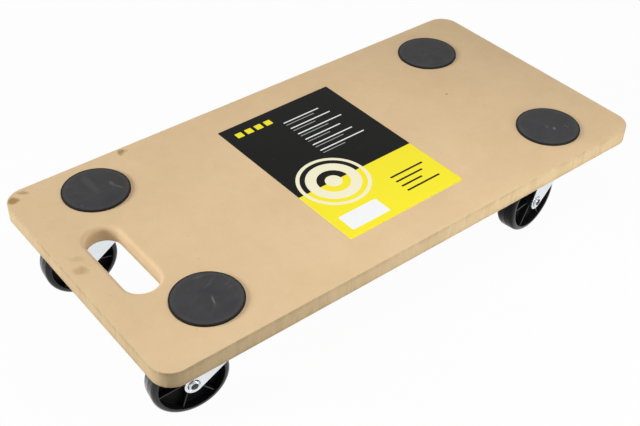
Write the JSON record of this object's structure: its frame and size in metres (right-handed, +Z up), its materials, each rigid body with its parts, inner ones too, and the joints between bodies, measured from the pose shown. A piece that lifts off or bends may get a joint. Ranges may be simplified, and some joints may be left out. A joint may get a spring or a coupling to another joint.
{
  "type": "transport trolley",
  "caption": "Low flat transport trolley: a wood-fibre deck with a hand slot at one end and round anti-slip pads on top, carried on swivel casters screwed under its corners.",
  "frame": {"origin": "on the floor, under the middle of the deck", "axes": "+X along the deck, away from its hand slot; +Y across the deck, to the right of someone who pulls it by the slot; +Z up"},
  "size_m": [0.6, 0.3, 0.115],
  "materials": {
    "fibreboard": "matte",
    "pad_rubber": "matte",
    "label_print": "satin",
    "zinc_plate": "satin",
    "wheel_plastic": "satin"
  },
  "bodies": {
    "deck": {"deck_board": "fibreboard", "product_label": "label_print", "pad_front_left": "pad_rubber", "pad_front_right": "pad_rubber", "pad_rear_left": "pad_rubber", "pad_rear_right": "pad_rubber", "mounting_plate_front_left": "zinc_plate", "mounting_plate_front_right": "zinc_plate", "mounting_plate_rear_left": "zinc_plate", "mounting_plate_rear_right": "zinc_plate", "kingpin_front_left": "zinc_plate", "kingpin_front_right": "zinc_plate", "kingpin_rear_left": "zinc_plate", "kingpin_rear_right": "zinc_plate", "race_washer_front_left": "zinc_plate", "race_washer_front_right": "zinc_plate", "race_washer_rear_left": "zinc_plate", "race_washer_rear_right": "zinc_plate", "screw_front_left_1": "zinc_plate", "screw_front_left_2": "zinc_plate", "screw_front_left_3": "zinc_plate", "screw_front_left_4": "zinc_plate", "screw_front_right_1": "zinc_plate", "screw_front_right_2": "zinc_plate", "screw_front_right_3": "zinc_plate", "screw_front_right_4": "zinc_plate", "screw_rear_left_1": "zinc_plate", "screw_rear_left_2": "zinc_plate", "screw_rear_left_3": "zinc_plate", "screw_rear_left_4": "zinc_plate", "screw_rear_right_1": "zinc_plate", "screw_rear_right_2": "zinc_plate", "screw_rear_right_3": "zinc_plate", "screw_rear_right_4": "zinc_plate"},
    "caster_front_left": {"fork_front_left": "zinc_plate", "ball_ring_front_left": "zinc_plate", "axle_bolt_front_left": "zinc_plate", "axle_nut_front_left": "zinc_plate", "axle_sleeve_front_left": "zinc_plate"},
    "caster_front_right": {"fork_front_right": "zinc_plate", "ball_ring_front_right": "zinc_plate", "axle_bolt_front_right": "zinc_plate", "axle_nut_front_right": "zinc_plate", "axle_sleeve_front_right": "zinc_plate"},
    "caster_rear_left": {"fork_rear_left": "zinc_plate", "ball_ring_rear_left": "zinc_plate", "axle_bolt_rear_left": "zinc_plate", "axle_nut_rear_left": "zinc_plate", "axle_sleeve_rear_left": "zinc_plate"},
    "caster_rear_right": {"fork_rear_right": "zinc_plate", "ball_ring_rear_right": "zinc_plate", "axle_bolt_rear_right": "zinc_plate", "axle_nut_rear_right": "zinc_plate", "axle_sleeve_rear_right": "zinc_plate"},
    "roller_front_left": {"wheel_front_left": "wheel_plastic"},
    "roller_front_right": {"wheel_front_right": "wheel_plastic"},
    "roller_rear_left": {"wheel_rear_left": "wheel_plastic"},
    "roller_rear_right": {"wheel_rear_right": "wheel_plastic"}
  },
  "joints": [
    {"name": "swivel_front_left", "type": "hinge", "parent": "deck", "child": "caster_front_left", "pos_m": [-0.219, -0.1015, 0.095], "axis": [0, 0, 1], "continuous": true},
    {"name": "swivel_front_right", "type": "hinge", "parent": "deck", "child": "caster_front_right", "pos_m": [-0.219, 0.1015, 0.095], "axis": [0, 0, 1], "continuous": true},
    {"name": "swivel_rear_left", "type": "hinge", "parent": "deck", "child": "caster_rear_left", "pos_m": [0.219, -0.1015, 0.095], "axis": [0, 0, 1], "continuous": true},
    {"name": "swivel_rear_right", "type": "hinge", "parent": "deck", "child": "caster_rear_right", "pos_m": [0.219, 0.1015, 0.095], "axis": [0, 0, 1], "continuous": true},
    {"name": "roll_front_left", "type": "hinge", "parent": "caster_front_left", "child": "roller_front_left", "pos_m": [-0.24764, -0.09696, 0.039], "axis": [0.1564, 0.9877, 0], "continuous": true},
    {"name": "roll_front_right", "type": "hinge", "parent": "caster_front_right", "child": "roller_front_right", "pos_m": [-0.24784, 0.10453, 0.039], "axis": [0.1045, 0.9945, 0], "continuous": true},
    {"name": "roll_rear_left", "type": "hinge", "parent": "caster_rear_left", "child": "roller_rear_left", "pos_m": [0.19023, -0.10519, 0.039], "axis": [-0.1271, 0.9919, 0], "continuous": true},
    {"name": "roll_rear_right", "type": "hinge", "parent": "caster_rear_right", "child": "roller_rear_right", "pos_m": [0.19007, 0.09948, 0.039], "axis": [-0.0698, 0.9976, 0], "continuous": true}
  ]
}
